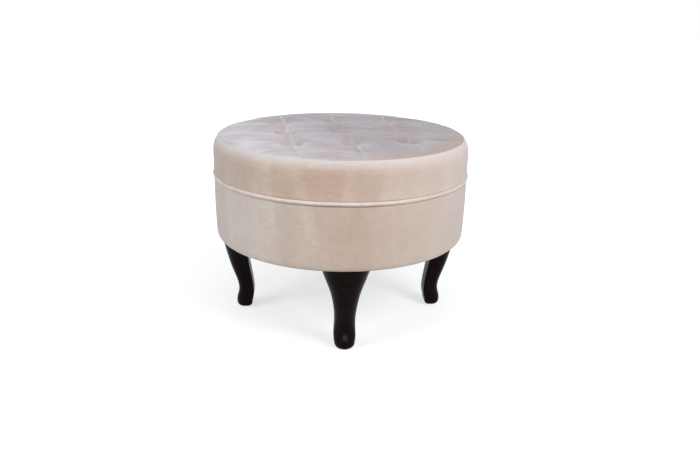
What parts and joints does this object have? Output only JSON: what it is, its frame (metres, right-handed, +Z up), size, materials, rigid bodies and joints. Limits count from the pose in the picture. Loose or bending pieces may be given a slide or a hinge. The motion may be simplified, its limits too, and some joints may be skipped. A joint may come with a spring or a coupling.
{
  "type": "footstool",
  "caption": "Round upholstered footstool with a tufted velvet top, a piping ring round its side and dark cabriole legs.",
  "frame": {"origin": "on the floor, under the middle of the seat", "axes": "+Z up; the front leg points along -Y, the right leg along +X"},
  "size_m": [0.5536, 0.5536, 0.4078],
  "materials": {
    "velvet": "short velvet pile, pale pinkish beige, soft sheen at grazing angles",
    "piping_cord": "twisted cotton cord",
    "wadding": "polyester wadding",
    "foam": "open-cell upholstery foam",
    "twine": "waxed tufting twine",
    "plywood": "unfinished plywood",
    "post_wood": "unfinished softwood",
    "hardboard": "bent hardboard",
    "steel": "zinc-plated steel",
    "dust_cloth": "black non-woven cloth",
    "leg_lacquer": "very dark brown stain under a glossy lacquer",
    "glide_plastic": "hard plastic"
  },
  "bodies": {
    "root": {"top_panel_cover": "velvet", "boxing_cover": "velvet", "piping_cover": "velvet", "lower_cover": "velvet", "tuft_buttons": "velvet", "piping_cord": "piping_cord", "top_wadding": "wadding", "side_wadding": "wadding", "foam_pad": "foam", "tuft_twines": "twine", "top_board": "plywood", "base_board": "plywood", "post_1": "post_wood", "post_2": "post_wood", "post_3": "post_wood", "post_4": "post_wood", "post_5": "post_wood", "post_6": "post_wood", "post_7": "post_wood", "post_8": "post_wood", "side_shell": "hardboard", "twine_washers": "steel", "top_board_screws": "steel", "base_board_screws": "steel", "shell_brads": "steel", "tee_nuts": "steel", "hanger_bolts": "steel", "dust_cover_staples": "steel", "glide_nails": "steel", "dust_cover": "dust_cloth", "leg_front": "leg_lacquer", "leg_right": "leg_lacquer", "leg_rear": "leg_lacquer", "leg_left": "leg_lacquer", "glide_front": "glide_plastic", "glide_right": "glide_plastic", "glide_rear": "glide_plastic", "glide_left": "glide_plastic"}
  },
  "joints": []
}
